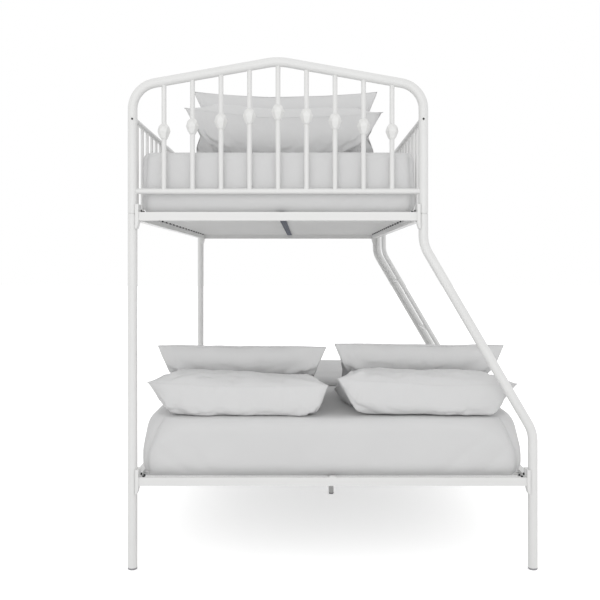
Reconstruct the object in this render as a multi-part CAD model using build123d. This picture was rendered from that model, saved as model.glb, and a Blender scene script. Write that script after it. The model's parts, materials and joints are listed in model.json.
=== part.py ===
from build123d import *
import math
import os

os.makedirs("parts", exist_ok=True)

# Twin over full bunk bed of bent steel tube, with its bedding.
# Millimetres. X runs across the bed, Y from the head end to the foot end, Z up.
# The origin is on the floor, in the middle of the bed's overall box.

# Posts and end frames
post_d = 34.0
post_wall = 1.5
bed_h = 1829.0
low_bend_over_rail = 190.0
high_bend_under_rail = 87.0
post_bend_r = 125.0
seam_over_rail = 25.0
seam_gap = 0.8
seam_chamfer = 1.4
spigot_len = 90.0
spigot_wall = 2.0
fit_clearance = 0.3

# Arch
arch_drop = 92.6
arch_corner_r = 94.0
arch_peak_r = 220.0

# Feet
cap_h = 7.0
cap_plug_len = 20.0

# Crossbar, spindles and castings
crossbar_d = 20.0
crossbar_drop = 479.0
spindle_d = 17.4
spindle_end_gap = 112.25
spindle_count = 9
casting_drop = 162.0
casting_sides = 6
casting_rows = [
    # height over the waist, corner radius, share of a step that the ring is turned by
    (26.5, 11.0, 0.0),
    (18.2, 19.3, 0.5),
    (1.4, 23.2, 0.0),
    (-1.4, 22.9, 0.0),
    (-18.8, 16.3, 0.0),
    (-27.5, 11.5, 0.5),
]

# Rails
rail_h = 30.0
rail_wall = 1.5
end_rail_depth = 20.0
end_rail_outset = 14.0
side_rail_depth = 25.0
side_rail_outset = 2.0
upper_rail_drop = 584.0
lower_rail_z = 300.0
rail_end_gap = 0.6

# Corner brackets
bracket_below = 29.0
bracket_above = 28.0
bracket_lap = 5.0
bracket_reach = 7.0
bracket_wall = 3.0
bracket_front = 4.0
bracket_groove = 1.5
bracket_groove_depth = 8.0
bracket_taper_h = 26.0
bracket_taper_reach = 6.0
rail_bolt_d = 9.0
rail_bolt_h = 4.0
rail_bolt_rise = 5.5
rail_screw_d = 9.0
rail_screw_h = 4.0
rail_screw_shift = 40.0

# Slats, strap, centre rail and leg
slat_w = 25.0
slat_h = 7.0
slat_top_over_rail = -1.0
lower_slat_top_over_rail = -12.0
slat_cap_l = 6.5
slat_cap_wall = 2.0
bay_count = 20
strap_w = 26.0
strap_t = 2.0
strap_shift = 8.6
centre_rail_w = 30.0
centre_rail_h = 18.0
hook_w = 24.0
hook_t = 3.0
leg_d = 24.0
leg_shift = 27.0
leg_plate_t = 3.0
leg_plate_l = 34.0

# Guard rails
guard_d = 20.0
guard_drop = 223.0
guard_inset = 4.0
guard_bend_r = 60.0
guard_end_gap = 60.0
guard_bar_count = 20
right_guard_bar_count = 16
bar_d = 12.0
guard_bolt_d = 7.0
guard_bolt_h = 2.5

# Ladder
ladder_d = 25.0
ladder_wall = 1.5
ladder_gap = 0.3
ladder_post_gap = 30.0
ladder_spacing = 302.0
ladder_top_over_rail = 20.0
rung_d = 22.0
step_off_rise = 21.0
first_rung_z = 198.0
rung_count = 4
ladder_bolt_d = 12.0
ladder_bolt_h = 3.0

# Mattresses
upper_mattress_w = 992.5
lower_mattress_w = 1382.4
mattress_l = 1905.0
mattress_end_room = 38.0
upper_mattress_side_room = 0.6
lower_mattress_side_room = 1.2
upper_mattress_t = 224.7
lower_mattress_t = 217.0
mattress_corner_r = 34.0
mattress_edge_r = 32.0
soft_gap = 0.3

# Pillows: length across the bed, seam at the near edge and at the far edge
pillow_gap = 32.0
pillow_side_room = 19.2
upper_pillow_l = 764.0
upper_pillow_shift = 15.0
pillow_ear_t = 5.0
# station along the pillow, width of the section, fullness, each as a share
pillow_shares = [
    (-1.0, 1.0, 0.0),
    (-0.95, 0.975, 0.42),
    (-0.8, 0.945, 0.8),
    (-0.45, 0.93, 0.97),
    (0.0, 0.925, 1.0),
    (0.45, 0.93, 0.97),
    (0.8, 0.945, 0.8),
    (0.95, 0.975, 0.42),
    (1.0, 1.0, 0.0),
]
# outline of a section from seam to seam: share of the half width, share of the fullness
crown_shares = [(-1, 0), (-0.72, 0.74), (0, 1), (0.72, 0.74), (1, 0)]
soft_belly_shares = [(1, 0), (0.74, 0.7), (0, 1), (-0.74, 0.74), (-1, 0)]
full_belly_shares = [(1, 0), (0.74, 0.74), (0, 1), (-0.78, 0.92), (-1.03, 0.5), (-1, 0)]
low_front_near_y = 62.0
low_front_near_h = 112.0
low_front_far_y = 455.0
low_front_far_h = 40.0
low_front_up = 62.0
low_front_down = 112.0
low_back_near_y = 302.0
low_back_near_h = 231.0
low_back_far_y = 742.0
low_back_far_h = 0.5
low_back_up = 50.0
low_back_down = 66.0
up_front_near_y = 243.0
up_front_near_h = 184.0
up_front_far_y = 590.0
up_front_far_h = 12.0
up_front_up = 85.0
up_front_down = 100.0
up_back_near_y = 523.0
up_back_near_h = 310.0
up_back_far_y = 900.0
up_back_far_h = 0.5
up_back_up = 58.0
up_back_down = 105.0

# Folded throw
throw_side_room = 41.2
throw_near_y = 782.0
throw_depth = 214.0
throw_t = 44.0
throw_r = 20.0
throw_slit = 3.0
throw_slit_depth_share = 0.82

overrun = 5.0

# Derived places
post_r = post_d / 2
ladder_r = ladder_d / 2
side_inner = side_rail_depth - side_rail_outset
end_inner = end_rail_depth - end_rail_outset
width_over_posts = lower_mattress_w + 2 * (lower_mattress_side_room + side_inner + post_r)
length_over_posts = mattress_l + 2 * mattress_end_room
upper_post_spacing = upper_mattress_w + 2 * (upper_mattress_side_room + side_inner)
upper_rail_z = bed_h - upper_rail_drop
crossbar_z = bed_h - crossbar_drop
guard_z = bed_h - guard_drop
seam_z = upper_rail_z + seam_over_rail
post_low_bend_z = lower_rail_z + low_bend_over_rail
post_high_bend_z = upper_rail_z - high_bend_under_rail
spindle_pitch = (upper_post_spacing - 2 * spindle_end_gap) / (spindle_count - 1)
rung_pitch = (upper_rail_z + step_off_rise - first_rung_z) / rung_count
lower_pillow_l = (lower_mattress_w - pillow_gap) / 2 - pillow_side_room
pillow_side_shift = (lower_pillow_l + pillow_gap) / 2
throw_w = lower_mattress_w - 2 * throw_side_room
post_y = length_over_posts / 2 - post_r
ladder_out = side_rail_outset + ladder_gap + ladder_r
ladder_proud = ladder_out + ladder_r + ladder_bolt_h - post_r
mid_x = -ladder_proud / 2
low_half = width_over_posts / 2 - post_r
left_x = mid_x - low_half
low_right_x = mid_x + low_half
up_right_x = left_x + upper_post_spacing
up_mid_x = (left_x + up_right_x) / 2
arch_half = upper_post_spacing / 2
arch_slope = math.atan2(arch_drop, arch_half)
peak_bend_drop = arch_peak_r * (1 / math.cos(arch_slope) - 1)
arch_peak_z = bed_h - post_r + peak_bend_drop
arch_corner_z = arch_peak_z - arch_drop
upper_rail_top = upper_rail_z + rail_h
lower_rail_top = lower_rail_z + rail_h
upper_slat_top = upper_rail_top + slat_top_over_rail
lower_slat_top = lower_rail_top + lower_slat_top_over_rail
bay = 2 * post_y / bay_count
guard_pitch = 2 * (post_y - guard_end_gap) / (guard_bar_count - 1)
end_face_y = post_y - end_inner
bend_lean = (low_right_x - up_right_x) / (post_high_bend_z - post_low_bend_z)


def rod(x, y, z0, z1, r):
    """Upright round bar."""
    return Pos(x, y, (z0 + z1) / 2) * Cylinder(r, z1 - z0)


def block(x0, x1, y0, y1, z0, z1):
    """Box between two corners."""
    middle = Pos((x0 + x1) / 2, (y0 + y1) / 2, (z0 + z1) / 2)
    return middle * Box(x1 - x0, y1 - y0, z1 - z0)


def bent(points, radii, r):
    """Round bar along straight runs joined by arcs."""
    path = FilletPolyline(*points, radius=radii)
    start = Plane(origin=path @ 0, z_dir=path % 0)
    return sweep(start * Circle(r), path=path)


def bars_at(solid, places):
    """The same solid at each place."""
    return [Pos(*place) * solid for place in places]


def write(node, pieces):
    """One STEP file for a node of one or more solids."""
    solids = []
    for piece in pieces if isinstance(pieces, list) else [pieces]:
        solids += list(piece.solids())
    group = Compound(children=solids) if len(solids) > 1 else solids[0]
    group.label = node
    export_step(group, "parts/" + node + ".step")


# Posts below the seam: the two on the left are straight, the two on the right bend inward
def post_route(x_low, x_high):
    if x_low == x_high:
        return None
    return [
        (x_low, 0, cap_h),
        (x_low, 0, post_low_bend_z),
        (x_high, 0, post_high_bend_z),
        (x_high, 0, seam_z - seam_gap / 2),
    ]


def lower_post(x_low, x_high, r):
    route = post_route(x_low, x_high)
    if route is None:
        return rod(x_low, 0, cap_h, seam_z - seam_gap / 2, r)
    return bent(route, post_bend_r, r)


def hollow_post(x_low, x_high):
    tube = lower_post(x_low, x_high, post_r) - lower_post(x_low, x_high, post_r - post_wall)
    rim = tube.edges().filter_by(GeomType.CIRCLE)
    top = [e for e in rim if abs(e.center().Z - (seam_z - seam_gap / 2)) < seam_gap]
    top = [e for e in top if e.radius > post_r - post_wall / 2]
    return chamfer(top, seam_chamfer)


def end_arch(r):
    route = [
        (left_x, 0, seam_z + seam_gap / 2),
        (left_x, 0, arch_corner_z),
        (up_mid_x, 0, arch_peak_z),
        (up_right_x, 0, arch_corner_z),
        (up_right_x, 0, seam_z + seam_gap / 2),
    ]
    return bent(route, [arch_corner_r, arch_peak_r, arch_corner_r], r)


arch_bar = end_arch(post_r)
arch_tube = arch_bar - end_arch(post_r - post_wall)
arch_rims = arch_tube.edges().filter_by(GeomType.CIRCLE)
arch_rims = [e for e in arch_rims if abs(e.center().Z - (seam_z + seam_gap / 2)) < seam_gap]
arch_rims = [e for e in arch_rims if e.radius > post_r - post_wall / 2]
arch_tube = chamfer(arch_rims, seam_chamfer)
left_tube = hollow_post(left_x, left_x)
right_tube = hollow_post(low_right_x, up_right_x)

ends = {"head": -1, "foot": 1}
for end, way in ends.items():
    place = Pos(0, way * post_y, 0)
    write("post_lower_left_" + end, place * left_tube)
    write("post_lower_right_" + end, place * right_tube)
    write("arch_" + end, place * arch_tube)

bore_r = post_r - post_wall
spigot_bar = Cylinder(bore_r - fit_clearance, spigot_len)
spigot = spigot_bar - Cylinder(bore_r - fit_clearance - spigot_wall, spigot_len)
upper_posts = [(x, way * post_y) for x in (left_x, up_right_x) for way in (-1, 1)]
lower_posts = [(x, way * post_y) for x in (left_x, low_right_x) for way in (-1, 1)]
write("post_spigots", bars_at(spigot, [(x, y, seam_z) for x, y in upper_posts]))


def foot(r, wall):
    """Moulded foot: a flange on the floor and a plug up the tube."""
    plug = rod(0, 0, cap_h, cap_h + cap_plug_len, r - wall - fit_clearance)
    flange = rod(0, 0, 0, cap_h, r)
    rim = flange.edges().filter_by(GeomType.CIRCLE).sort_by(Axis.Z)[0]
    return chamfer([rim], cap_h / 4) + plug


write("post_feet", bars_at(foot(post_r, post_wall), [(x, y, 0) for x, y in lower_posts]))

# Crossbar and spindles of each end, mitred to the tubes that they meet
crossbar = Pos(up_mid_x, 0, crossbar_z) * Rot(0, 90, 0) * Cylinder(
    crossbar_d / 2, upper_post_spacing)
crossbar_bar = crossbar
crossbar = crossbar - arch_bar
crossbar = crossbar.solids().sort_by(SortBy.VOLUME)[-1]
spindle_x = [
    up_mid_x + (i - (spindle_count - 1) / 2) * spindle_pitch for i in range(spindle_count)
]
spindle_r = spindle_d / 2


def arch_underside(x):
    """Height of the arch's underside over a place between the posts."""
    line = arch_peak_z - abs(x - up_mid_x) * math.tan(arch_slope)
    return min(line, bed_h - post_r) - post_r / math.cos(arch_slope)


spindles = []
for x in spindle_x:
    bar = rod(x, 0, crossbar_z, arch_underside(x) + post_r, spindle_r)
    bar = bar - crossbar_bar - arch_bar
    spindles.append(bar.solids().sort_by(SortBy.VOLUME)[-1])


def ring(row):
    height, r, turn = casting_rows[row]
    step = 2 * math.pi / casting_sides
    first = step * turn
    angles = [first + step * i for i in range(casting_sides)]
    return [Vector(r * math.cos(a), r * math.sin(a), height) for a in angles]


def facet(*points):
    return Face(Wire.make_polygon(list(points), close=True))


def casting():
    """Faceted knuckle: bands of flat facets, three-sided where a ring is turned half a step."""
    rings = [ring(i) for i in range(len(casting_rows))]
    faces = [facet(*rings[0]), facet(*rings[-1])]
    for row in range(len(rings) - 1):
        above = rings[row]
        below = rings[row + 1]
        turn = casting_rows[row + 1][2] - casting_rows[row][2]
        for i in range(casting_sides):
            j = (i + 1) % casting_sides
            if turn == 0:
                faces.append(facet(above[i], above[j], below[j], below[i]))
            elif turn < 0:
                faces.append(facet(above[i], below[j], below[i]))
                faces.append(facet(above[i], above[j], below[j]))
            else:
                faces.append(facet(above[i], above[j], below[i]))
                faces.append(facet(above[j], below[j], below[i]))
    body = Solid(Shell(faces))
    tall = casting_rows[0][0] - casting_rows[-1][0]
    return body - Cylinder(spindle_r, 2 * tall)


knuckle = casting()
knuckles = [Pos(x, 0, arch_underside(x) - casting_drop) * knuckle for x in spindle_x]
for end, way in ends.items():
    place = Pos(0, way * post_y, 0)
    write("crossbar_" + end, place * crossbar)
    write("spindles_" + end, [place * s for s in spindles])
    write("castings_" + end, [place * k for k in knuckles])


def rail_x(x0, x1, y0, y1, z):
    """Rectangular tube across the bed, open at its ends."""
    skin = block(x0, x1, y0, y1, z, z + rail_h)
    return skin - block(x0 - overrun, x1 + overrun, y0 + rail_wall, y1 - rail_wall,
                        z + rail_wall, z + rail_h - rail_wall)


def rail_y(x0, x1, y0, y1, z):
    """Rectangular tube along the bed, open at its ends."""
    skin = block(x0, x1, y0, y1, z, z + rail_h)
    return skin - block(x0 + rail_wall, x1 - rail_wall, y0 - overrun, y1 + overrun,
                        z + rail_wall, z + rail_h - rail_wall)


end_start = post_r + rail_end_gap
levels = {
    "upper": (upper_rail_z, left_x, up_right_x),
    "lower": (lower_rail_z, left_x, low_right_x),
}


def corner_bracket(z):
    """Corner of a level: it laps the post and holds the ends of two rails.

    Local places: the post stands at zero, the bed lies to +X and +Y.
    """
    reach = post_r + bracket_reach
    front = -end_rail_outset - bracket_front
    bottom = z - bracket_below
    top = z + rail_h + bracket_above
    head_arm = block(post_r - bracket_lap, reach, front, end_inner + bracket_wall, bottom, top)
    side_arm = block(-side_rail_outset, side_inner + bracket_wall,
                     end_inner, reach, bottom, top)
    body = head_arm + side_arm
    taper = Plane.XZ * make_face(Polyline(
        (reach - bracket_taper_reach, bottom), (reach, bottom + bracket_taper_h),
        (reach + overrun, bottom + bracket_taper_h), (reach + overrun, bottom), close=True))
    body = body - extrude(taper, 2 * reach, both=True)
    taper = Plane.YZ * make_face(Polyline(
        (reach - bracket_taper_reach, bottom), (reach, bottom + bracket_taper_h),
        (reach + overrun, bottom + bracket_taper_h), (reach + overrun, bottom), close=True))
    body = body - extrude(taper, 2 * reach, both=True)
    body = body - rod(0, 0, bottom - overrun, top + overrun, post_r)
    groove = rod(0, 0, bottom - overrun, top + overrun, post_r + bracket_groove)
    groove = groove & block(0, reach, front - overrun, -bracket_groove_depth,
                            bottom - overrun, top + overrun)
    body = body - groove
    body = body - block(0, reach + overrun, -end_rail_outset, end_inner, z, z + rail_h)
    body = body - block(-side_rail_outset, side_inner, 0, reach + overrun, z, z + rail_h)
    return body.solids().sort_by(SortBy.VOLUME)[-1]


def four_corners(piece, x_left, x_right):
    """A corner piece at the four posts of a level, turned to face inward."""
    flipped = mirror(piece, about=Plane.YZ)
    corners = []
    for x, form in ((x_left, piece), (x_right, flipped)):
        corners.append(Pos(x, -post_y, 0) * form)
        corners.append(Pos(x, post_y, 0) * mirror(form, about=Plane.XZ))
    return corners


for level, (z, x_left, x_right) in levels.items():
    for end, way in ends.items():
        y0, y1 = sorted((way * (post_y + end_rail_outset), way * end_face_y))
        write(level + "_end_rail_" + end, rail_x(x_left + end_start, x_right - end_start, y0, y1, z))
    reach_y = post_y - end_start
    write(level + "_side_rail_left", rail_y(
        x_left - side_rail_outset, x_left + side_inner, -reach_y, reach_y, z))
    write(level + "_side_rail_right", rail_y(
        x_right - side_inner, x_right + side_rail_outset, -reach_y, reach_y, z))
    write(level + "_corner_brackets", four_corners(corner_bracket(z), x_left, x_right))
    head = RegularPolygon(rail_bolt_d / 2, 6)
    stand = side_inner + bracket_wall
    bolt = Pos(stand, post_r, z + rail_h + rail_bolt_rise) * Rot(0, 90, 0) * extrude(
        head, rail_bolt_h)
    screw = Pos(rail_screw_shift, (end_inner - end_rail_outset) / 2, z + rail_h) * extrude(
        Circle(rail_screw_d / 2), rail_screw_h)
    write(level + "_rail_bolts", four_corners(bolt, x_left, x_right))
    write(level + "_rail_screws", four_corners(screw, x_left, x_right))

# Slats of both levels
slat_y = [-post_y + bay * k for k in range(1, bay_count)]


def slat_row(x0, x1, top):
    slat = block(x0, x1, -slat_w / 2, slat_w / 2, top - slat_h, top)
    return bars_at(slat, [(0, y, 0) for y in slat_y])


def slat_caps(x, way, top):
    """Moulded caps on one end of a row of slats; way points along the slats from that end."""
    x0, x1 = sorted((x, x + way * slat_cap_l))
    half = slat_w / 2
    cap = block(x0, x1, -half - slat_cap_wall, half + slat_cap_wall,
                top - slat_h - slat_cap_wall, top)
    cap = cap - block(x0 - overrun, x1 + overrun, -half, half, top - slat_h, top + overrun)
    return bars_at(cap, [(0, y, 0) for y in slat_y])


centre_x = mid_x
write("upper_slats", slat_row(left_x + side_inner, up_right_x - side_inner, upper_slat_top))
write("upper_slat_caps", slat_caps(left_x + side_inner, 1, upper_slat_top)
      + slat_caps(up_right_x - side_inner, -1, upper_slat_top))
write("lower_slat_caps", slat_caps(left_x + side_inner, 1, lower_slat_top)
      + slat_caps(low_right_x - side_inner, -1, lower_slat_top))
write("lower_slats_left", slat_row(
    left_x + side_inner, centre_x - centre_rail_w / 2, lower_slat_top))
write("lower_slats_right", slat_row(
    centre_x + centre_rail_w / 2, low_right_x - side_inner, lower_slat_top))
strap_x = up_mid_x + strap_shift
strap_top = upper_slat_top - slat_h
write("upper_slat_strap", block(strap_x - strap_w / 2, strap_x + strap_w / 2,
                                -end_face_y, end_face_y, strap_top - strap_t, strap_top))

# Centre rail of the lower level, hooked over the end rails, with one leg at mid length
centre_bottom = lower_slat_top - centre_rail_h
centre_end = end_face_y - hook_t
centre_skin = block(centre_x - centre_rail_w / 2, centre_x + centre_rail_w / 2,
                    -centre_end, centre_end, centre_bottom, lower_slat_top)
centre_hollow = block(centre_x - centre_rail_w / 2 + rail_wall,
                      centre_x + centre_rail_w / 2 - rail_wall,
                      -centre_end - overrun, centre_end + overrun,
                      centre_bottom + rail_wall, lower_slat_top - rail_wall)
write("centre_rail", centre_skin - centre_hollow)
hook = block(-hook_w / 2, hook_w / 2, -end_face_y, -centre_end, centre_bottom,
             lower_rail_top + hook_t)
hook = hook + block(-hook_w / 2, hook_w / 2, -post_y - end_rail_outset + hook_t, -end_face_y,
                    lower_rail_top, lower_rail_top + hook_t)
hook = Pos(centre_x, 0, 0) * hook
write("centre_rail_hooks", [hook, mirror(hook, about=Plane.XZ)])
leg_x = centre_x + leg_shift
leg_top = centre_bottom - leg_plate_t
leg_r = leg_d / 2
leg = rod(leg_x, 0, cap_h, leg_top, leg_r)
leg = leg - rod(leg_x, 0, 0, leg_top + overrun, leg_r - ladder_wall)
leg = leg + block(centre_x - centre_rail_w / 2, leg_x + leg_r, -leg_plate_l / 2,
                  leg_plate_l / 2, leg_top, centre_bottom)
write("centre_leg", leg)
write("centre_leg_foot", Pos(leg_x, 0, 0) * foot(leg_r, ladder_wall))

# Guard rails of the upper bunk: bent top bar and thin bars down to the side rail
guard_r = guard_d / 2
bar_r = bar_d / 2
post_cores = [rod(x, y, seam_z, arch_corner_z, post_r) for x, y in upper_posts]


def guard_line(x, y0, y1):
    return Pos(x, (y0 + y1) / 2, guard_z) * Rot(90, 0, 0) * Cylinder(guard_r, y1 - y0)


left_guard_x = left_x + guard_inset
right_guard_x = up_right_x - guard_inset
left_top = guard_line(left_guard_x, -post_y, post_y)
left_clear = left_top
for core in post_cores:
    left_clear = left_clear - core
write("guard_top_left", left_clear.solids().sort_by(SortBy.VOLUME)[-1])
guard_end_y = -post_y + guard_end_gap + guard_pitch * right_guard_bar_count
right_top = bent([
    (right_guard_x, -post_y, guard_z),
    (right_guard_x, guard_end_y, guard_z),
    (right_guard_x, guard_end_y, upper_rail_top),
], guard_bend_r, guard_r)
right_clear = right_top
for core in post_cores:
    right_clear = right_clear - core
write("guard_top_right", right_clear.solids().sort_by(SortBy.VOLUME)[-1])


def guard_bars(x, count, top_bar):
    bars = []
    for k in range(count):
        y = -post_y + guard_end_gap + guard_pitch * k
        bar = rod(x, y, upper_rail_top, guard_z, bar_r) - top_bar
        bars.append(bar.solids().sort_by(SortBy.VOLUME)[-1])
    return bars


write("guard_bars_left", guard_bars(left_guard_x, guard_bar_count, left_top))
write("guard_bars_right", guard_bars(right_guard_x, right_guard_bar_count, right_top))


def guard_bolt(post_x, shift, way):
    """Bolt head on the outer face of a post, in line with the guard rail."""
    depth = post_r + guard_bolt_h
    place = Pos(post_x + shift, way * (post_y + depth / 2), guard_z)
    shank = place * Rot(90, 0, 0) * Cylinder(guard_bolt_d / 2, depth)
    return shank - rod(post_x, way * post_y, guard_z - guard_d, guard_z + guard_d, post_r)


bolt_shift = guard_inset / 2
write("guard_bolts", [
    guard_bolt(left_x, bolt_shift, -1), guard_bolt(up_right_x, -bolt_shift, -1),
    guard_bolt(left_x, bolt_shift, 1)])

# Ladder beside the foot post: two rails that follow the right posts, four rungs
ladder_y_foot = post_y - ladder_post_gap
ladder_y_head = ladder_y_foot - ladder_spacing
ladder_low_x = low_right_x + ladder_out
ladder_high_x = up_right_x + ladder_out
ladder_top = upper_rail_z + ladder_top_over_rail


def ladder_bar(y, r):
    return bent([
        (ladder_low_x, y, cap_h),
        (ladder_low_x, y, post_low_bend_z),
        (ladder_high_x, y, post_high_bend_z),
        (ladder_high_x, y, ladder_top),
    ], post_bend_r, r)


def ladder_x(z):
    """Place of the ladder's centreline across the bed at a height."""
    lean = (post_high_bend_z - z) * bend_lean
    return min(ladder_low_x, max(ladder_high_x, ladder_high_x + lean))


ladder_solid = {}
for name, y in (("head", ladder_y_head), ("foot", ladder_y_foot)):
    ladder_solid[name] = ladder_bar(y, ladder_r)
    write("ladder_rail_" + name, ladder_solid[name] - ladder_bar(y, ladder_r - ladder_wall))
rungs = []
for i in range(rung_count):
    z = first_rung_z + i * rung_pitch
    rung = Pos(ladder_x(z), (ladder_y_head + ladder_y_foot) / 2, z) * Rot(90, 0, 0) * Cylinder(
        rung_d / 2, ladder_spacing)
    for bar in ladder_solid.values():
        rung = rung - bar
    rungs.append(rung.solids().sort_by(SortBy.VOLUME)[-1])
write("ladder_rungs", rungs)
write("ladder_feet", [
    Pos(ladder_low_x, y, 0) * foot(ladder_r, ladder_wall)
    for y in (ladder_y_head, ladder_y_foot)])
top_cap = foot(ladder_r, ladder_wall)
top_cap = Rot(180, 0, 0) * top_cap
write("ladder_top_caps", [
    Pos(ladder_high_x, y, ladder_top + cap_h) * top_cap
    for y in (ladder_y_head, ladder_y_foot)])


def ladder_bolt(x, y, z):
    depth = ladder_r + ladder_bolt_h
    head = Pos(x + depth / 2, y, z) * Rot(0, 90, 0) * Cylinder(ladder_bolt_d / 2, depth)
    return head - rod(x, y, z - ladder_d, z + ladder_d, ladder_r)


write("ladder_bolts", [
    ladder_bolt(x, y, z)
    for y in (ladder_y_head, ladder_y_foot)
    for x, z in ((ladder_high_x, upper_rail_z + rail_h / 2),
                 (ladder_low_x, lower_rail_z + rail_h / 2))])


def mattress(x, w, z, t):
    """Mattress in a fitted sheet: rounded corners and soft edges."""
    body = block(x - w / 2, x + w / 2, -mattress_l / 2, mattress_l / 2, z, z + t)
    body = fillet(body.edges().filter_by(Axis.Z), mattress_corner_r)
    rims = body.edges().group_by(Axis.Z)
    return fillet(list(rims[0]) + list(rims[-1]), mattress_edge_r)


upper_bed_z = upper_slat_top + soft_gap
lower_bed_z = lower_slat_top + soft_gap
upper_bed_top = upper_bed_z + upper_mattress_t
lower_bed_top = lower_bed_z + lower_mattress_t
write("upper_mattress", mattress(up_mid_x, upper_mattress_w, upper_bed_z, upper_mattress_t))
write("lower_mattress", mattress(mid_x, lower_mattress_w, lower_bed_z, lower_mattress_t))


def pillow(length, bed_top, x, near, far, up, down, belly_shares):
    """Pillow leaning to the head end: near and far are (Y from the head posts, height over
    the mattress) of its two long seams."""
    near_point = Vector(x, near[0] - post_y, bed_top + near[1])
    far_point = Vector(x, far[0] - post_y, bed_top + far[1])
    half = (far_point - near_point).length / 2
    middle = (near_point + far_point) * (1 / 2)
    slope = math.atan2(far_point.Z - near_point.Z, far_point.Y - near_point.Y)
    sections = []
    for along, width, full in pillow_shares:
        a = half * width
        top = max(up * full, pillow_ear_t / 2)
        low = max(down * full, pillow_ear_t / 2)
        flat = Plane(origin=(along * length / 2, 0, 0), x_dir=(0, 1, 0), z_dir=(1, 0, 0))
        crown = Spline(*[(a * across, top * tall) for across, tall in crown_shares])
        belly = Spline(*[(a * across, -low * tall) for across, tall in belly_shares])
        sections.append(flat * make_face(Curve([crown, belly])))
    body = loft(sections)
    body = Pos(middle.X, middle.Y, middle.Z) * Rot(math.degrees(slope), 0, 0) * body
    under = block(x - length, x + length, -2 * post_y, 2 * post_y,
                  bed_top - 2 * down, bed_top + soft_gap)
    return (body - under).solids().sort_by(SortBy.VOLUME)[-1]


for side, way in (("left", -1), ("right", 1)):
    x = mid_x + way * pillow_side_shift
    write("lower_pillow_front_" + side, pillow(
        lower_pillow_l, lower_bed_top, x, (low_front_near_y, low_front_near_h),
        (low_front_far_y, low_front_far_h), low_front_up, low_front_down,
        full_belly_shares))
    write("lower_pillow_back_" + side, pillow(
        lower_pillow_l, lower_bed_top, x, (low_back_near_y, low_back_near_h),
        (low_back_far_y, low_back_far_h), low_back_up, low_back_down,
        soft_belly_shares))
pillow_x = up_mid_x + upper_pillow_shift
write("upper_pillow_front", pillow(
    upper_pillow_l, upper_bed_top, pillow_x, (up_front_near_y, up_front_near_h),
    (up_front_far_y, up_front_far_h), up_front_up, up_front_down,
    soft_belly_shares))
write("upper_pillow_back", pillow(
    upper_pillow_l, upper_bed_top, pillow_x, (up_back_near_y, up_back_near_h),
    (up_back_far_y, up_back_far_h), up_back_up, up_back_down,
    soft_belly_shares))

# Throw folded in two across the lower mattress
throw_y0 = throw_near_y - post_y
throw_y1 = throw_y0 + throw_depth
throw_z0 = lower_bed_top + soft_gap
throw_z1 = throw_z0 + throw_t
throw = block(mid_x - throw_w / 2, mid_x + throw_w / 2, throw_y0, throw_y1, throw_z0, throw_z1)
fold_edges = throw.edges().filter_by(Axis.X).group_by(Axis.Y)[0]
throw = fillet(fold_edges, throw_r)
slit_mid = (throw_z0 + throw_z1) / 2
slit_start = throw_y1 - throw_depth * throw_slit_depth_share
throw = throw - block(mid_x - throw_w, mid_x + throw_w, slit_start, throw_y1 + overrun,
                      slit_mid - throw_slit / 2, slit_mid + throw_slit / 2)
write("folded_throw", throw)
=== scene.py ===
import json
import math

import bmesh
import bpy
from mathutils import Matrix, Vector, noise


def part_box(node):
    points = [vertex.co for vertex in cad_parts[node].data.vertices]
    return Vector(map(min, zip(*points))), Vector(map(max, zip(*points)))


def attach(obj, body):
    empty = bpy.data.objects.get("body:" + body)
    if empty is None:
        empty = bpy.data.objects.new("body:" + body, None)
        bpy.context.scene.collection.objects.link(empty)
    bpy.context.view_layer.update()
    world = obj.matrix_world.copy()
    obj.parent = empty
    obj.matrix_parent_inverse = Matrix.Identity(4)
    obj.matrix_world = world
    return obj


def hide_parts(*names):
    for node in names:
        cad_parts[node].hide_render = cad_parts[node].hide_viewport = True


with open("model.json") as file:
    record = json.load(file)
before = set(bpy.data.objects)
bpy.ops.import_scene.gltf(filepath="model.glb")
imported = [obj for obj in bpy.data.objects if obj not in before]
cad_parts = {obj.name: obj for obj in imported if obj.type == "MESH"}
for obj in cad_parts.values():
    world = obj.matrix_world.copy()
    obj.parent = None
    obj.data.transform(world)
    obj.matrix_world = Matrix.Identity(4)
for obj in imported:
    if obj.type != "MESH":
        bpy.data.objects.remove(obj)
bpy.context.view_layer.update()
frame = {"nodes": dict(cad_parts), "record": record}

# Places in metres, in the bed's own frame
MID_X = -0.00665
POST_Y = 0.9735
HEAD = -POST_Y


# Node helpers, for a material or for the world
def add(owner, kind, **values):
    node = owner.node_tree.nodes.new(kind)
    for key, value in values.items():
        setattr(node, key, value)
    return node


def link(owner, a, b):
    owner.node_tree.links.new(a, b)


def math_node(owner, operation, a, b):
    """Two inputs, each a socket or a number."""
    node = add(owner, "ShaderNodeMath", operation=operation)
    for socket, value in zip(node.inputs, (a, b)):
        if isinstance(value, float):
            socket.default_value = value
        else:
            link(owner, value, socket)
    return node.outputs["Value"]


def coords(m, scale=(1, 1, 1)):
    tex = add(m, "ShaderNodeTexCoord")
    mapping = add(m, "ShaderNodeMapping")
    mapping.inputs["Scale"].default_value = scale
    link(m, tex.outputs["Object"], mapping.inputs["Vector"])
    return mapping.outputs["Vector"]


def noise_node(m, vector, scale, detail):
    n = add(m, "ShaderNodeTexNoise")
    n.inputs["Scale"].default_value = scale
    n.inputs["Detail"].default_value = detail
    link(m, vector, n.inputs["Vector"])
    return n.outputs["Fac"]


def band_node(m, vector, period, direction, detail):
    """Thread wave: one dark and one light band to the period."""
    n = add(m, "ShaderNodeTexWave", wave_type="BANDS", bands_direction=direction)
    wave_rate = 20
    n.inputs["Scale"].default_value = 2 * math.pi / (wave_rate * period)
    n.inputs["Distortion"].default_value = 0.6
    n.inputs["Detail"].default_value = detail
    link(m, vector, n.inputs["Vector"])
    return n.outputs["Fac"]


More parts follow.
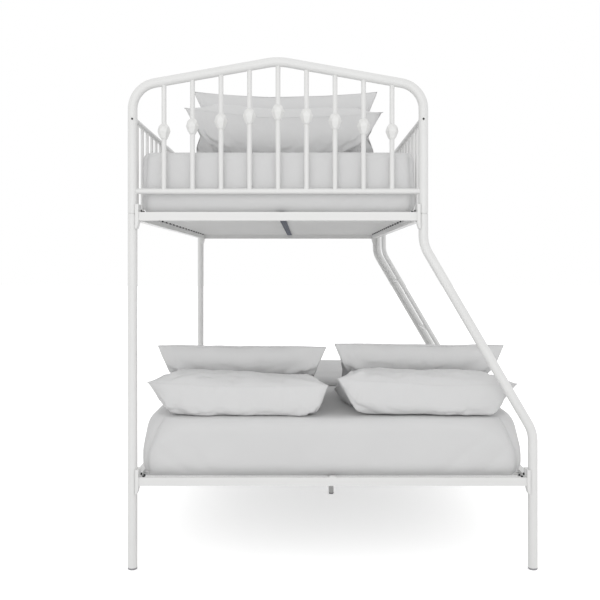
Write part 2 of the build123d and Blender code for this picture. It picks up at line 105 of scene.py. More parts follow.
def ramp_value(m, fac, low, high):
    n = add(m, "ShaderNodeMapRange")
    n.inputs["To Min"].default_value = low
    n.inputs["To Max"].default_value = high
    link(m, fac, n.inputs["Value"])
    return n.outputs["Result"]


def mixed_color(m, fac, a, b):
    n = add(m, "ShaderNodeMix", data_type="RGBA")
    n.inputs["A"].default_value = (*a, 1)
    n.inputs["B"].default_value = (*b, 1)
    link(m, fac, n.inputs["Factor"])
    return n.outputs["Result"]


def bump(m, height, distance, strength, normal=None):
    n = add(m, "ShaderNodeBump")
    n.inputs["Distance"].default_value = distance
    n.inputs["Strength"].default_value = strength
    link(m, height, n.inputs["Height"])
    if normal is not None:
        link(m, normal, n.inputs["Normal"])
    return n.outputs["Normal"]


# Materials
def new_material(name, color, rough, metallic=0.0):
    """A material and its principled node."""
    m = bpy.data.materials.new(name)
    m.use_nodes = True
    p = m.node_tree.nodes["Principled BSDF"]
    p.inputs["Base Color"].default_value = (*color, 1)
    p.inputs["Roughness"].default_value = rough
    p.inputs["Metallic"].default_value = metallic
    return m, p


def powder_coat(name, color, rough, peel):
    """Sprayed and baked paint: faint tone drift, orange peel, a little dust in the gloss."""
    m, p = new_material(name, color, rough)
    v = coords(m)
    dark = tuple(c * 0.965 for c in color)
    tone = noise_node(m, v, scale=5.0, detail=2)
    link(m, mixed_color(m, tone, dark, color), p.inputs["Base Color"])
    dust = noise_node(m, v, scale=30.0, detail=4)
    link(m, ramp_value(m, dust, rough - 0.05, rough + 0.07), p.inputs["Roughness"])
    grain = noise_node(m, v, scale=420.0, detail=2)
    link(m, bump(m, grain, distance=peel, strength=0.3), p.inputs["Normal"])
    p.inputs["Coat Weight"].default_value = 0.15
    p.inputs["Coat Roughness"].default_value = 0.25
    return m


def moulded_plastic(name, color, rough):
    """Dull plastic with a spark-eroded grain."""
    m, p = new_material(name, color, rough)
    v = coords(m)
    dark = tuple(c * 0.85 for c in color)
    tone = noise_node(m, v, scale=60.0, detail=3)
    link(m, mixed_color(m, tone, dark, color), p.inputs["Base Color"])
    grain = noise_node(m, v, scale=900.0, detail=2)
    link(m, bump(m, grain, distance=0.0001, strength=0.6), p.inputs["Normal"])
    wear = noise_node(m, v, scale=90.0, detail=2)
    link(m, ramp_value(m, wear, rough - 0.06, rough + 0.06), p.inputs["Roughness"])
    return m


def metal(name, color, rough):
    """Bare or blackened steel, faintly streaked along Z."""
    m, p = new_material(name, color, rough, metallic=1.0)
    v = coords(m, (1, 1, 12))
    wear = noise_node(m, v, scale=120.0, detail=3)
    link(m, ramp_value(m, wear, rough - 0.08, rough + 0.1), p.inputs["Roughness"])
    grain = noise_node(m, v, scale=200.0, detail=3)
    link(m, bump(m, grain, distance=0.0001, strength=0.4), p.inputs["Normal"])
    return m


def woven(name, color, shade, period=0.0009, depth=0.00018):
    """Plain cotton weave: crossed thread waves, slubs, and a slow drift of tone."""
    m, p = new_material(name, color, 0.92)
    v = coords(m)
    threads = band_node(m, v, period, "X", detail=1.0)
    for direction, detail in (("Y", 1.0), ("Z", 2.0)):
        threads = math_node(m, "ADD", threads, band_node(m, v, period, direction, detail))
    slubs = noise_node(m, coords(m, (40, 900, 900)), scale=1.0, detail=2)
    slow = noise_node(m, v, scale=6.0, detail=3)
    tone = math_node(m, "ADD", math_node(m, "MULTIPLY", slubs, 0.25), slow)
    link(m, mixed_color(m, tone, shade, color), p.inputs["Base Color"])
    rumples = noise_node(m, v, scale=55.0, detail=4)
    soft = bump(m, rumples, distance=0.0006, strength=0.35)
    link(m, bump(m, threads, depth, 0.35, soft), p.inputs["Normal"])
    p.inputs["Sheen Weight"].default_value = 0.12
    p.inputs["Sheen Roughness"].default_value = 0.5
    p.inputs["Specular IOR Level"].default_value = 0.25
    return m


MATERIALS = {
    "white_frame": powder_coat("white_powder_coat", (0.715, 0.715, 0.708), 0.36, 0.00005),
    "white_casting": powder_coat("white_cast_coat", (0.73, 0.73, 0.72), 0.30, 0.0001),
    "grey_plastic": moulded_plastic("grey_foot_plastic", (0.30, 0.30, 0.31), 0.5),
    # Dark plastic end caps on the slats; their near-black colour is also painted shade, standing in
    # for the shaded gaps at the slat ends under the mattress.
    "dark_plastic": moulded_plastic("dark_cap_plastic_painted_shade", (0.06, 0.06, 0.065), 0.55),
    "black_bolt": metal("black_oxide_bolt", (0.03, 0.03, 0.03), 0.45),
    "zinc_bolt": metal("bright_zinc_bolt", (0.62, 0.62, 0.63), 0.35),
    "steel_spigot": metal("drawn_steel", (0.55, 0.55, 0.55), 0.4),
    "dark_strap": woven("dark_webbing", (0.085, 0.095, 0.13), (0.06, 0.07, 0.10), 0.002, 0.0005),
    "mattress_sheet": woven("cotton_sheet", (0.645, 0.645, 0.645), (0.615, 0.615, 0.617)),
    "pillow_case": woven("cotton_case", (0.655, 0.655, 0.655), (0.625, 0.625, 0.627)),
    "throw_cloth": woven("cotton_throw", (0.63, 0.63, 0.63), (0.60, 0.60, 0.60), 0.0016, 0.0004),
}
SLOT_OF = {s["node"]: s["material_slot"] for s in frame["record"]["subparts"]}
for node, obj in frame["nodes"].items():
    obj.data.materials.clear()
    obj.data.materials.append(MATERIALS[SLOT_OF[node]])


# Shared by all the pieces
def new_object(name, mesh):
    obj = bpy.data.objects.new(name, mesh)
    bpy.context.scene.collection.objects.link(obj)
    return obj


def mesh_object(name, verts, faces):
    mesh = bpy.data.meshes.new(name)
    mesh.from_pydata([tuple(v) for v in verts], [], faces)
    mesh.update()
    return new_object(name, mesh)


def finish_piece(obj, slot, node):
    """Give a soft piece its material and body, in the place of its CAD solid."""
    obj.data.materials.clear()
    obj.data.materials.append(MATERIALS[slot])
    obj.data.polygons.foreach_set("use_smooth", [True] * len(obj.data.polygons))
    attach(obj, "root")
    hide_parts(node)


def smoothstep(a, b, x):
    t = min(1.0, max(0.0, (x - a) / (b - a)))
    return t * t * (3 - 2 * t)


def clamp(x, a):
    return max(-a, min(a, x))


def noise_at(*place):
    return noise.noise(Vector(place))


# Mattresses: rounded boxes in fitted sheets
SHEET_STEP = 0.013
TOP_RISE = 0.0062
TOP_SINK = 0.0042
BEDS = {}


def box_grid(w, l, h, step):
    """Closed box of square-ish quads about its own middle."""
    bm = bmesh.new()
    n = [max(2, round(s / step)) for s in (w, l, h)]
    grid = {}

    def vert(i, j, k):
        key = (i, j, k)
        if key not in grid:
            grid[key] = bm.verts.new((
                (i / n[0] - 0.5) * w, (j / n[1] - 0.5) * l, (k / n[2] - 0.5) * h))
        return grid[key]

    for i in range(n[0]):
        for j in range(n[1]):
            bm.faces.new([vert(i, j, n[2]), vert(i + 1, j, n[2]),
                          vert(i + 1, j + 1, n[2]), vert(i, j + 1, n[2])])
            bm.faces.new([vert(i, j, 0), vert(i, j + 1, 0),
                          vert(i + 1, j + 1, 0), vert(i + 1, j, 0)])
    for i in range(n[0]):
        for k in range(n[2]):
            bm.faces.new([vert(i, 0, k), vert(i + 1, 0, k),
                          vert(i + 1, 0, k + 1), vert(i, 0, k + 1)])
            bm.faces.new([vert(i, n[1], k), vert(i, n[1], k + 1),
                          vert(i + 1, n[1], k + 1), vert(i + 1, n[1], k)])
    for j in range(n[1]):
        for k in range(n[2]):
            bm.faces.new([vert(0, j, k), vert(0, j, k + 1),
                          vert(0, j + 1, k + 1), vert(0, j + 1, k)])
            bm.faces.new([vert(n[0], j, k), vert(n[0], j + 1, k),
                          vert(n[0], j + 1, k + 1), vert(n[0], j, k + 1)])
    return bm


def top_relief(x, y, w, l):
    """How far a dressed mattress rises over its flat top, for a place about its middle."""
    crown = max(0.0, 1 - (2 * x / w) ** 4) * max(0.0, 1 - (2 * y / l) ** 4)
    return TOP_RISE * crown - TOP_SINK


def bed_surface(node, x, y):
    """Height of a mattress's cover under a place, down over its rounded rim too."""
    middle, size, edge = BEDS[node]
    dx, dy = x - middle.x, y - middle.y
    z = middle.z + size.z / 2 + top_relief(dx, dy, size.x, size.y)
    over = max(0.0, abs(dx) - size.x / 2 + edge, abs(dy) - size.y / 2 + edge)
    steepest = 0.85 * edge
    return z - edge + math.sqrt(edge ** 2 - min(over, steepest) ** 2)


def round_rim(p, size, edge):
    """The point of a box moved onto a box with rounded edges."""
    inner = Vector([clamp(c, s / 2 - edge) for c, s in zip(p, size)])
    d = p - inner
    return inner + d.normalized() * edge if d.length > 0 else p


def round_corner(p, size, radius):
    """Pull a point in to its upright round corner.

    Returns where it was over the corner's own middle, and its share of a way round, 0 to 1.
    """
    cx = clamp(p.x, size.x / 2 - radius)
    cy = clamp(p.y, size.y / 2 - radius)
    dx, dy = p.x - cx, p.y - cy
    reach = math.hypot(dx, dy)
    share = 0.0
    least = 0.001
    if reach > 0:
        k = max(abs(dx), abs(dy)) / reach
        p.x = cx + dx * k
        p.y = cy + dy * k
        if abs(dx) > least and abs(dy) > least:
            share = 4 * abs(dx * dy) / (dx * dx + dy * dy) / 2
    return dx, dy, share


def outward(p, size, dx, dy, share):
    """Direction that a side's sheet faces, level, or nothing on the top's middle."""
    near_side = 0.03
    out = Vector((0, 0, 0))
    if share > 0:
        out = Vector((dx, dy, 0))
    else:
        if abs(abs(p.x) - size.x / 2) < near_side:
            out.x = math.copysign(1, p.x)
        if abs(abs(p.y) - size.y / 2) < near_side:
            out.y = math.copysign(1, p.y)
    if out.length > 0:
        out.normalize()
    return out


def fold_push(folds, out, along, height, t):
    """Drag folds: each a groove that leans from its place at the bottom."""
    push = 0.0
    for place, lean, width, deep, way in folds:
        s = along - place - lean * height
        if (out.y < -0.5 and way == "head") or (way == "any" and out.y > -0.5):
            push += deep * math.exp(-(s / width) ** 2) * (0.35 + 0.65 * (1 - t))
    return push


def drag_push(p, along, seed):
    """Long soft waves and two crossed sets of shallow drag lines."""
    push = 0.0026 * noise_at(p.x * 3.0, p.y * 3.0, p.z * 5.0 + seed)
    rising = noise_at((along + 0.6 * p.z) * 9.0, p.z * 2.6, seed + 1.3)
    falling = noise_at((along - 0.9 * p.z) * 14.0, p.z * 4.0, seed + 5.1)
    push -= 0.0045 * max(0.0, rising - 0.12)
    return push - 0.0040 * max(0.0, falling - 0.2)


def corner_pleats(p, dx, dy, share, t):
    """Gathers of the fitted sheet round a corner, deeper to the bottom."""
    angle = math.atan2(abs(dy), abs(dx)) if share > 0 else 0
    return -0.0014 * share * (0.5 + 0.5 * math.cos(angle * 19 + p.z * 9)) * (1 - 0.7 * t)


def make_mattress(name, node, folds, seed, edge, low_corner, top_corner):
    """Edge rounds the rim; the upright corners go from low_corner to top_corner."""
    low, high = (Vector(c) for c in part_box(node))
    size = high - low
    middle = (low + high) / 2
    BEDS[node] = (middle, size, edge)
    bm = box_grid(*size, SHEET_STEP)
    for v in bm.verts:
        rise = smoothstep(0.3, 1.0, v.co.z / size.z + 0.5)
        corner = low_corner + (top_corner - low_corner) * rise
        p = round_rim(v.co.copy(), size, edge)
        dx, dy, share = round_corner(p, size, corner)
        t = p.z / size.z + 0.5
        side = smoothstep(0.0, 0.12, t) * (1 - smoothstep(0.9, 1.0, t))
        out = outward(p, size, dx, dy, share)
        along = p.x if abs(out.y) > abs(out.x) else p.y
        push = fold_push(folds, out, along, p.z + size.z / 2, t)
        push += drag_push(p, along, seed) + corner_pleats(p, dx, dy, share, t)
        p += out * push * side
        rumple = 0.0012 * noise_at(p.x * 4.5, p.y * 4.5, seed + 7.0)
        fine = 0.0006 * noise_at(p.x * 13.0, p.y * 9.0, seed + 3.0)
        p.z += smoothstep(0.97, 1.0, t) * (top_relief(p.x, p.y, size.x, size.y) + rumple + fine)
        v.co = p + middle
    mesh = bpy.data.meshes.new(name)
    bm.to_mesh(mesh)
    bm.free()
    obj = new_object(name, mesh)
    finish_piece(obj, "mattress_sheet", node)


# Folds: place along the side, lean, width, depth, and the sides that have them
UPPER_FOLDS = [
    (0.20, 0.9, 0.020, -0.004, "head"), (0.29, 1.1, 0.014, -0.003, "head"),
    (-0.33, -0.8, 0.022, -0.003, "head"), (0.05, 0.5, 0.030, -0.002, "head"),
    (-0.5, 0.6, 0.020, -0.003, "any"), (0.35, -0.7, 0.020, -0.003, "any"),
]
LOWER_FOLDS = [
    (-0.50, -1.2, 0.018, -0.004, "head"), (-0.42, -0.9, 0.016, -0.003, "head"),
    (0.36, 1.3, 0.020, -0.004, "head"), (0.52, 1.0, 0.016, -0.004, "head"),
    (0.10, 0.6, 0.028, -0.002, "head"), (-0.6, 0.8, 0.020, -0.003, "any"),
    (0.1, -0.6, 0.022, -0.003, "any"), (0.62, 0.7, 0.018, -0.003, "any"),
]
make_mattress("upper_mattress_cover", "upper_mattress", UPPER_FOLDS, seed=1.7,
              edge=0.033, low_corner=0.034, top_corner=0.055)
make_mattress("lower_mattress_cover", "lower_mattress", LOWER_FOLDS, seed=9.2,
              edge=0.052, low_corner=0.045, top_corner=0.185)


# Pillows: two panels sewn round the rim, filled by a short cloth run
SEAM_SHARE = 0.985
FLANGE_HALF = 0.0012
WELT_R = 0.0009
WELT_SIDES = 6
PILLOW_LONG = 84
PILLOW_SHORT = 60
FILL_PRESSURE = 3.0
FILL_FRAMES = 18
BED_GAP = 0.0004
SOFT_EDGE = 0.009


def spread(n, crowding):
    """Stations from -1 to 1, closer together towards both ends, with one just inside the seam."""
    out = []
    for i in range(n + 1):
        t = i / n * 2 - 1
        out.append(t * (1 - crowding) + math.sin(t * math.pi / 2) * crowding)
    inside = (1 + SEAM_SHARE) / 2
    return [-1.0, -inside] + [t * SEAM_SHARE for t in out] + [inside, 1.0]


def end_profile(u, start, power):
    """Fullness along a pillow: all of it up to start, none at the ear."""
    return 1 - (max(0.0, abs(u) - start) / (1 - start)) ** power


def ear_rays(u, v, layer, seed):
    """Creases that fan out from the four ears."""
    total = 0.0
    for cu, cv in ((-1, -1), (1, -1), (-1, 1), (1, 1)):
        du, dv = (u - cu) * 1.25, v - cv
        reach = math.hypot(du, dv)
        angle = math.atan2(dv, du)
        turn = noise_at(reach * 2.0, seed + cu, cv + layer)
        total += math.exp(-((reach - 0.28) / 0.24) ** 2) * math.sin(angle * 9 + turn * 5 + seed)
    return total


def hem_waves(u, v, seed):
    """Puckers beside the seams, in two lengths."""
    total = 0.0
    for k, (rate, amp) in enumerate(((9.0, 1.0), (17.0, 0.6))):
        total += amp * math.sin(u * rate + noise_at(u * 2, seed, k) * 6) * (
            abs(v) ** 7) * (1 - abs(u) ** 5)
        total += amp * math.sin(v * rate * 0.8 + noise_at(v * 2, k, seed) * 6) * (
            abs(u) ** 8) * (1 - abs(v) ** 5)
    return total


def groove(value, width):
    """Sharp valley where a noise passes through nothing."""
    return (max(0.0, width - abs(value)) / width) ** 1.5


def pillow_relief(p, u, v, layer, seed):
    """Height of the cloth's own wrinkles at a place of a panel, in metres."""
    q = Vector((p.x * 6.0, p.y * 6.0 + layer * 3.0, p.z * 6.0 + seed * 11))
    wave = noise.noise(q)
    bend = noise.noise(q * 2.3 + Vector((4, 1, seed)))
    crease = noise_at(u * 2.4 + seed, v * 5.0 + u * 1.1, layer + seed * 3)
    line = noise_at(u * 3.2 - v * 1.6 + seed, v * 6.5 + u * 2.2, seed * 2 + layer)
    pull = noise_at(u * 9.0, v * 1.8, seed * 5 + layer)
    pleat = groove(pull, 0.2) * smoothstep(0.55, 0.9, abs(u)) ** 1.5
    return (0.0058 * wave + 0.0034 * bend + 0.0040 * ear_rays(u, v, layer, seed)
            + 0.0024 * hem_waves(u, v, seed) - 0.0036 * groove(crease, 0.16)
            - 0.0026 * groove(line, 0.10) - 0.0060 * pleat)


class Pillow:
    """Two panels on one rim, whose points go by u along the pillow and v from near to far.

    over and under are the fullness above and below the plane of the rim.
    """

    def __init__(self, corners, over, under, shape, seed, wrinkle):
        self.corners = [Vector(c) for c in corners]
        self.over, self.under = over, under
        self.shape = shape
        self.seed = seed
        self.wrinkle = wrinkle
        nl, nr, fl, fr = self.corners
        self.normal = ((nr - nl).cross(fl - nl)).normalized()
        self.inward = ((fl + fr) - (nl + nr)).normalized()
        self.across = (nr - nl).normalized()

    def drawn_in(self, v):
        """Share of the end's draw at v: all of it at the waist, none at the ears."""
        waist, before, after = self.shape["waist"]
        if v < waist:
            return 1 - ((waist - v) / (1 + waist)) ** before
        return 1 - ((v - waist) / (1 - waist)) ** after

    def hang(self, u, v):
        """How much of its slack the end seam shows, next to its near ear."""
        return abs(u) ** 14 * smoothstep(-1.0, -0.7, v) * (1 - smoothstep(-0.3, 1.0, v))

    def rim_point(self, u, v):
        shape = self.shape
        nl, nr, fl, fr = self.corners
        a = (u * (1 - shape["end_draw"] * self.drawn_in(v)) + 1) / 2
        b = (v * (1 - shape["side_draw"] * (1 - abs(u) ** 2.2)) + 1) / 2
        p = nl * (1 - a) * (1 - b) + nr * a * (1 - b) + fl * (1 - a) * b + fr * a * b
        near = max(0.0, -v)
        slack = self.hang(u, v)
        p.z -= shape["sag"] * near * near * (1 - u * u)
        p.z -= shape["ear_drop"] * slack
        p -= self.across * math.copysign(shape["ear_pull"] * slack, u)
        rumple = noise_at(u * 3.1, v * 2.3, self.seed * 7.7)
        edge = max(abs(u), abs(v)) ** 4 * (1 - (abs(u * v)) ** 3)
        return p + self.normal * (0.006 * rumple * edge)

    def fullness(self, u, v, over):
        """Share of the panel's height at a place, and the part of it that is due to u."""
        shape = self.shape
        blunt = shape["blunt_up"] if over else shape["blunt_down"]
        power = shape["power_up"] if over else shape["power_down"]
        start, slope = shape["ends_up"] if over else shape["ends_down"]
        if u > 0:
            start += shape["right_end"]
        fu = end_profile(u, start, slope)
        full = fu * (max(0.0, 1 - abs(v) ** blunt) ** power)
        corner = (abs(u) ** 5) * (abs(v) ** 5)
        return full * (1 - shape["ear_flat"] * corner), fu

    def raise_top(self, p, u, v, full):
        """Move a point of the rim's plane up to the upper panel."""
        shape = self.shape
        tilt = 1 - shape["crown_tilt"] * smoothstep(-0.5, 0.9, u)
        skew = shape["lift"] * full * (-v) * (1 - v * v)
        p += self.normal * (self.over * tilt * full + skew)

    def lower_bottom(self, p, u, v, full, fu):
        """Move a point of the rim's plane down to the lower panel."""
        shape = self.shape
        least = 0.15 * self.under * full
        depth = max(least, self.under * full - shape["ear_drop"] * self.hang(u, v))
        p -= self.normal * depth
        p -= self.across * (u * shape["tuck"] * full)
        p.z -= (shape["slump"] + shape["end_slump"] * abs(u) ** 8) * full
        plump = min(1.0, full * 1.5)
        swell = plump * math.sqrt(max(0.0, 1 - abs(v) ** 9))
        p -= self.inward * shape["belly"] * swell * smoothstep(0.15, 0.85, -v) * fu ** 0.4
        p += self.across * math.copysign(shape["cheek"], u) * plump * (
            smoothstep(0.45, 0.92, abs(u)) * math.sqrt(max(0.0, 1 - abs(u) ** 9)))

    def panel_point(self, u, v, layer):
        """A place of the upper panel, layer 1, or of the lower one, layer -1."""
        p = self.rim_point(u, v)
        full, fu = self.fullness(u, v, layer > 0)
        if layer > 0:
            self.raise_top(p, u, v, full)
        else:
            self.lower_bottom(p, u, v, full, fu)
        relief = pillow_relief(p, u, v, layer, self.seed)
        soft = min(1.0, full * 1.7)
        return p + self.normal * (relief * soft * self.wrinkle * layer)


def make_pillow(name, node, corners, bed, over, under, shape, seed, wrinkle=1.0):
    """Corners of the rim: near left, near right, far left, far right."""
    pillow = Pillow(corners, over, under, shape, seed, wrinkle)
    us = spread(PILLOW_LONG, 0.35)
    vs = spread(PILLOW_SHORT, 0.35)
    nu, nv = len(us) - 1, len(vs) - 1
    verts, faces, index = [], [], {}
    for layer in (1, -1):
        for i, u in enumerate(us):
            for j, v in enumerate(vs):
                on_seam = i in (0, nu) or j in (0, nv)
                beside_seam = i in (1, nu - 1) or j == nv - 1 or (j == 1 and shape["flange"])
                if on_seam and layer < 0:
                    index[(i, j, layer)] = index[(i, j, 1)]
                    continue
                if on_seam:
                    p = pillow.rim_point(u, v)
                elif beside_seam:
                    p = pillow.rim_point(u, v) + pillow.normal * (FLANGE_HALF * layer)
                else:
                    p = pillow.panel_point(u / SEAM_SHARE, v / SEAM_SHARE, layer)
                index[(i, j, layer)] = len(verts)
                verts.append(p)
    for layer in (1, -1):
        for i in range(nu):
            for j in range(nv):
                quad = [index[(i, j, layer)], index[(i + 1, j, layer)],
                        index[(i + 1, j + 1, layer)], index[(i, j + 1, layer)]]
                faces.append(quad if layer > 0 else quad[::-1])
    obj = mesh_object(name, verts, faces)
    pins = [index[(i, j, 1)] for i in (0, 1, nu - 1, nu) for j in (0, 1, nv - 1, nv)]
    fill_case(obj, pins, shape["cap"])
    rest_on_bed(obj, bed)
    around = [(i, 0) for i in range(nu)] + [(nu, j) for j in range(nv)]
    around += [(i, nv) for i in range(nu, 0, -1)] + [(0, j) for j in range(nv, 0, -1)]
    sew_welt(obj, [index[(i, j, 1)] for i, j in around])
    finish_piece(obj, "pillow_case", node)


def rest_on_bed(obj, bed):
    """Flatten a pillow where it would sink into its mattress, with a rounded edge."""
    for v in obj.data.vertices:
        rest = bed_surface(bed, v.co.x, v.co.y) + BED_GAP
        over = v.co.z - rest
        if over < SOFT_EDGE:
            v.co.z = rest + SOFT_EDGE * math.exp(min(0.0, over - SOFT_EDGE) / SOFT_EDGE)


def sew_welt(obj, loop):
    """Thin sewn welt that follows a closed run of the piece's own vertices."""
    line = [obj.data.vertices[k].co.copy() for k in loop]
    n = len(line)
    straight_up = 0.01
    bm = bmesh.new()
    bm.from_mesh(obj.data)
    rings = []
    for k in range(n):
        ahead = (line[(k + 1) % n] - line[k - 1]).normalized()
        side = ahead.cross(Vector((0, 0, 1)))
        side = side.normalized() if side.length > straight_up else Vector((1, 0, 0))
        rise = side.cross(ahead).normalized()
        turns = [2 * math.pi * s / WELT_SIDES for s in range(WELT_SIDES)]
        rings.append([bm.verts.new(line[k] + WELT_R * (side * math.cos(a) + rise * math.sin(a)))
                      for a in turns])
    for k in range(n):
        a, b = rings[k], rings[(k + 1) % n]
        for s in range(WELT_SIDES):
            ahead = (s + 1) % WELT_SIDES
            bm.faces.new([a[s], a[ahead], b[ahead], b[s]])
    bm.to_mesh(obj.data)
    bm.free()


def fill_case(obj, pins, cap):
    """Cloth run with pressure and no gravity, held at the ears, each move capped."""
    start = [v.co.copy() for v in obj.data.vertices]
    group = obj.vertex_groups.new(name="corners")
    group.add(pins, 1.0, "REPLACE")
    cloth = obj.modifiers.new("cloth", "CLOTH")
    s = cloth.settings
    s.vertex_group_mass = "corners"
    s.use_pressure = True
    s.uniform_pressure_force = FILL_PRESSURE
    s.effector_weights.gravity = 0
    s.mass = 0.15
    s.air_damping = 4
    s.quality = 5
    s.tension_stiffness = 18
    s.compression_stiffness = 18
    s.shear_stiffness = 6
    s.bending_stiffness = 0.25
    cloth.point_cache.frame_start = 1
    cloth.point_cache.frame_end = FILL_FRAMES
    scene = bpy.context.scene
    for f in range(1, FILL_FRAMES + 1):
        scene.frame_set(f)
    shown = obj.evaluated_get(bpy.context.evaluated_depsgraph_get())
    mesh = shown.to_mesh()
    after = [v.co.copy() for v in mesh.vertices]
    shown.to_mesh_clear()
    obj.modifiers.remove(cloth)
    obj.vertex_groups.clear()
    scene.frame_set(1)
    still = 1e-9
    for v, a, b in zip(obj.data.vertices, start, after):
        d = b - a
        far = d.length
        v.co = a + d * (cap * math.tanh(far / cap) / far) if far > still else a


# Shapes of the pillows. Shares of half the length or depth:
# end_draw and side_draw pull the seams in between the ears, waist is where the ends are drawn in
# most, with the powers before and after it, and ends_up and ends_down say up to where a panel
# is full, with the power of its fall to the ear. right_end moves that for the right end.
# Bare powers: blunt_* and power_* round the near and far sides of a panel.
# Shares of the fullness: crown_tilt to the right end, ear_flat at the ears.
# Metres: sag of the near seam, lift of the crown to the near side, tuck of the lower panel's ends,
# belly and cheek outward, ear_drop and ear_pull of the end seam beside the near ear,
# slump and end_slump of the lower panel, and cap on a cloth move.
FLAT_PILLOW = dict(
    end_draw=0.05, side_draw=0.02, waist=(0, 2.2, 2.2), sag=0.014, lift=0.012,
    blunt_up=3.4, power_up=0.50, ends_up=(0.72, 1.6),
    blunt_down=14.0, power_down=0.25, ends_down=(0.76, 1.2), right_end=0.12,
    crown_tilt=0.0, ear_flat=0.5, tuck=0.0, belly=0.015, cheek=0.012,
    ear_drop=0.0, ear_pull=0.0, slump=0.0, end_slump=0.0, cap=0.012, flange=False)
LEANING_PILLOW = dict(
    end_draw=0.035, side_draw=0.02, waist=(0, 2.2, 2.2), sag=0.002, lift=0.0,
    blunt_up=2.0, power_up=0.9, ends_up=(0.7, 1.6),
    blunt_down=7.0, power_down=0.26, ends_down=(0.97, 1.2), right_end=0.0,
    crown_tilt=0.0, ear_flat=0.0, tuck=0.028, belly=0.0, cheek=0.0,
    ear_drop=0.055, ear_pull=0.018, slump=0.004, end_slump=0.022, cap=0.010, flange=True)
PROPPED_PILLOW = dict(
    end_draw=0.140, side_draw=0.03, waist=(-0.45, 3.0, 0.85), sag=0.031, lift=0.014,
    blunt_up=3.0, power_up=0.6, ends_up=(0.8, 1.4),
    blunt_down=6.0, power_down=0.30, ends_down=(0.94, 1.5), right_end=0.0,
    crown_tilt=0.0, ear_flat=0.0, tuck=0.042, belly=0.0, cheek=0.0,
    ear_drop=0.055, ear_pull=0.0, slump=0.036, end_slump=0.0, cap=0.011, flange=True)


def rim(near_y, near_left, near_right, far_y, far_left, far_right):
    """Corners of a pillow's rim, from depths behind the head posts and pairs of x and z."""
    near = [(x, HEAD + near_y, z) for x, z in (near_left, near_right)]
    far = [(x, HEAD + far_y, z) for x, z in (far_left, far_right)]
    return near + far


make_pillow(
    "lower_left_front", "lower_pillow_front_left",
    rim(0.062, (-0.6810, 0.6595), (-0.0195, 0.6475), 0.455, (-0.6700, 0.5750), (-0.0350, 0.5750)),
    "lower_mattress", over=0.050, under=0.108, shape=dict(FLAT_PILLOW, crown_tilt=0.42),
    seed=1.0, wrinkle=1.3)
make_pillow(
    "lower_right_front", "lower_pillow_front_right",
    rim(0.062, (0.0120, 0.6720), (0.6700, 0.6530), 0.455, (0.0150, 0.5750), (0.6650, 0.5750)),
    "lower_mattress", over=0.045, under=0.108, shape=dict(FLAT_PILLOW, right_end=-0.02),
    seed=2.0, wrinkle=1.4)
make_pillow(
    "lower_left_back", "lower_pillow_back_left",
    rim(0.302, (-0.6850, 0.7690), (-0.0215, 0.7630), 0.740, (-0.6550, 0.5420), (-0.0550, 0.5420)),
    "lower_mattress", over=0.034, under=0.082, shape=LEANING_PILLOW, seed=3.0)
make_pillow(
    "lower_right_back", "lower_pillow_back_right",
    rim(0.302, (0.0110, 0.7760), (0.6780, 0.7700), 0.740, (0.0350, 0.5420), (0.6560, 0.5420)),
    "lower_mattress", over=0.034, under=0.082, shape=LEANING_PILLOW, seed=4.0)
make_pillow(
    "upper_front", "upper_pillow_front",
    rim(0.243, (-0.5730, 1.6940), (0.1970, 1.6780), 0.590, (-0.5800, 1.5140), (0.2020, 1.5140)),
    "upper_mattress", over=0.088, under=0.104, shape=PROPPED_PILLOW, seed=5.0)
make_pillow(
    "upper_back", "upper_pillow_back",
    rim(0.523, (-0.5720, 1.8165), (0.1990, 1.8155), 0.900, (-0.5500, 1.5060), (0.1800, 1.5060)),
    "upper_mattress", over=0.046, under=0.100,
    shape=dict(LEANING_PILLOW, sag=0.014, end_draw=0.05), seed=6.0)


# Folded throw: two layers with a round fold to the head end
THROW_LAYER_GAP = 0.0015
THROW_STATIONS = 110
THROW_LEAST_Z = 0.0006


def throw_profile(d, h):
    """Closed outline of the folded cloth across its fold, in pairs of depth and height."""
    t = h / 2 - THROW_LAYER_GAP / 2
    hem = d - t / 2
    inner_run = [hem - (hem - h * 0.52) * i / 8 for i in range(9)]
    outer_run = [(hem - h / 2) * i / 12 for i in range(1, 12)]

    def arc(cy, cz, r, start, end, n):
        turns = [math.radians(start + (end - start) * i / n) for i in range(n + 1)]
        return [(cy + r * math.cos(a), cz + r * math.sin(a)) for a in turns]

    profile = arc(hem, t / 2, t / 2, -90, 90, 6)
    profile += [(y, t) for y in inner_run[1:]]
    profile += [(y, t + THROW_LAYER_GAP) for y in inner_run[-2::-1]]
    profile += arc(hem, h - t / 2, t / 2, -90, 90, 6)
    profile += [(hem - run, h) for run in outer_run]
    profile += arc(h / 2, h / 2, h / 2, 90, 270, 14)
    profile += [(h / 2 + run, 0) for run in outer_run]
    return profile


def make_throw():
    low, high = (Vector(c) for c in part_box("folded_throw"))
    w, d, h = high - low
    profile = throw_profile(d, h)
    count = len(profile)
    verts, faces = [], []
    for i in range(THROW_STATIONS + 1):
        x = low.x + w * i / THROW_STATIONS
        for y, z in profile:
            wave = noise_at(x * 4, y * 9, 3.3) * 0.004
            ripple = noise_at(x * 14, y * 16, 8.1) * 0.0015
            side = noise_at(x * 5, z * 20, 1.9) * 0.003
            rise = max(THROW_LEAST_Z, z + (wave + ripple) * (z / h))
            verts.append((x, low.y + y + side, low.z + rise))
    for i in range(THROW_STATIONS):
        for k in range(count):
            a = i * count + k
            b = i * count + (k + 1) % count
            faces.append((a, b, b + count, a + count))
    faces.append(tuple(range(count - 1, -1, -1)))
    faces.append(tuple(THROW_STATIONS * count + k for k in range(count)))
    obj = mesh_object("folded_throw_cloth", verts, faces)
    finish_piece(obj, "throw_cloth", "folded_throw")


make_throw()


# Floor
FLOOR_HALF = 40.0


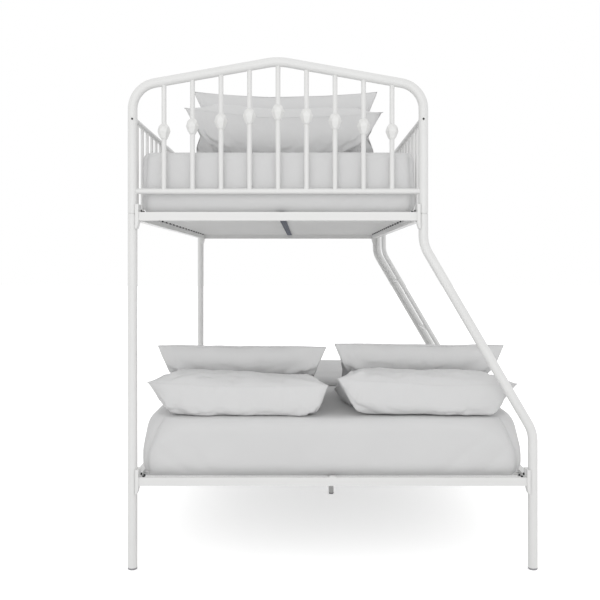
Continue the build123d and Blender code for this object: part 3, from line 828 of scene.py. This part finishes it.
def stage_material(name, color, lift):
    """Pale matt surface that the camera sees as white, with the object's shadow kept."""
    m = bpy.data.materials.new(name)
    m.use_nodes = True
    m.node_tree.nodes.clear()
    out = add(m, "ShaderNodeOutputMaterial")
    diffuse = add(m, "ShaderNodeBsdfDiffuse")
    diffuse.inputs["Color"].default_value = (color, color, color, 1)
    glow = add(m, "ShaderNodeEmission")
    glow.inputs["Color"].default_value = (1, 1, 1, 1)
    path = add(m, "ShaderNodeLightPath")
    seen = math_node(m, "MAXIMUM", path.outputs["Is Camera Ray"], path.outputs["Is Glossy Ray"])
    link(m, math_node(m, "MULTIPLY", seen, lift), glow.inputs["Strength"])
    both = add(m, "ShaderNodeAddShader")
    link(m, diffuse.outputs["BSDF"], both.inputs[0])
    link(m, glow.outputs["Emission"], both.inputs[1])
    link(m, both.outputs["Shader"], out.inputs["Surface"])
    return m


floor_corners = [(x * FLOOR_HALF, y * FLOOR_HALF, 0) for x, y in ((-1, -1), (1, -1), (1, 1), (-1, 1))]
floor = mesh_object("floor", floor_corners, [(0, 1, 2, 3)])
floor.data.materials.append(stage_material("floor_paint", color=0.84, lift=0.50))


# Light
def background(world, strength):
    node = add(world, "ShaderNodeBackground")
    node.inputs["Color"].default_value = (1, 1, 1, 1)
    node.inputs["Strength"].default_value = strength
    return node.outputs["Background"]


def make_world():
    """White to the camera and in reflections, and a little less bright as a light."""
    world = bpy.data.worlds.new("studio")
    bpy.context.scene.world = world
    world.use_nodes = True
    world.node_tree.nodes.clear()
    out = add(world, "ShaderNodeOutputWorld")
    path = add(world, "ShaderNodeLightPath")
    seen = math_node(world, "MAXIMUM", path.outputs["Is Camera Ray"],
                     path.outputs["Is Glossy Ray"])
    seen = math_node(world, "MAXIMUM", seen, path.outputs["Is Transmission Ray"])
    mix = add(world, "ShaderNodeMixShader")
    link(world, seen, mix.inputs["Fac"])
    link(world, background(world, strength=0.94), mix.inputs[1])
    link(world, background(world, strength=1.0), mix.inputs[2])
    link(world, mix.outputs["Shader"], out.inputs["Surface"])


def area(name, place, aim, size, power):
    data = bpy.data.lights.new(name, "AREA")
    data.shape = "DISK"
    data.size = size
    data.energy = power
    obj = new_object(name, data)
    obj.location = place
    obj.rotation_euler = (Vector(aim) - Vector(place)).to_track_quat("-Z", "Y").to_euler()


make_world()
area("key", place=(-1.2, -6.5, 2.6), aim=(0, 0, 0.9), size=6.0, power=60)
area("low", place=(0.6, -5.0, 0.15), aim=(0, 0.2, 0.9), size=5.0, power=24)

# Camera: level, before the head end, a little left of the bed's middle
LENS = 49.37
SENSOR = 36.0
CAMERA_ASIDE = 0.104
CAMERA_BACK = 2.942
CAMERA_Z = 1.083
camera_data = bpy.data.cameras.new("camera")
camera_data.lens = LENS
camera_data.sensor_width = SENSOR
camera_data.sensor_fit = "HORIZONTAL"
camera_data.shift_x = -0.0060
camera_data.shift_y = -0.0568
camera_data.clip_end = 100.0
camera = new_object("camera", camera_data)
camera.location = (MID_X - CAMERA_ASIDE, HEAD - CAMERA_BACK, CAMERA_Z)
camera.rotation_euler = (math.pi / 2, 0, 0)
bpy.context.scene.camera = camera
bpy.context.scene.view_settings.view_transform = "Standard"
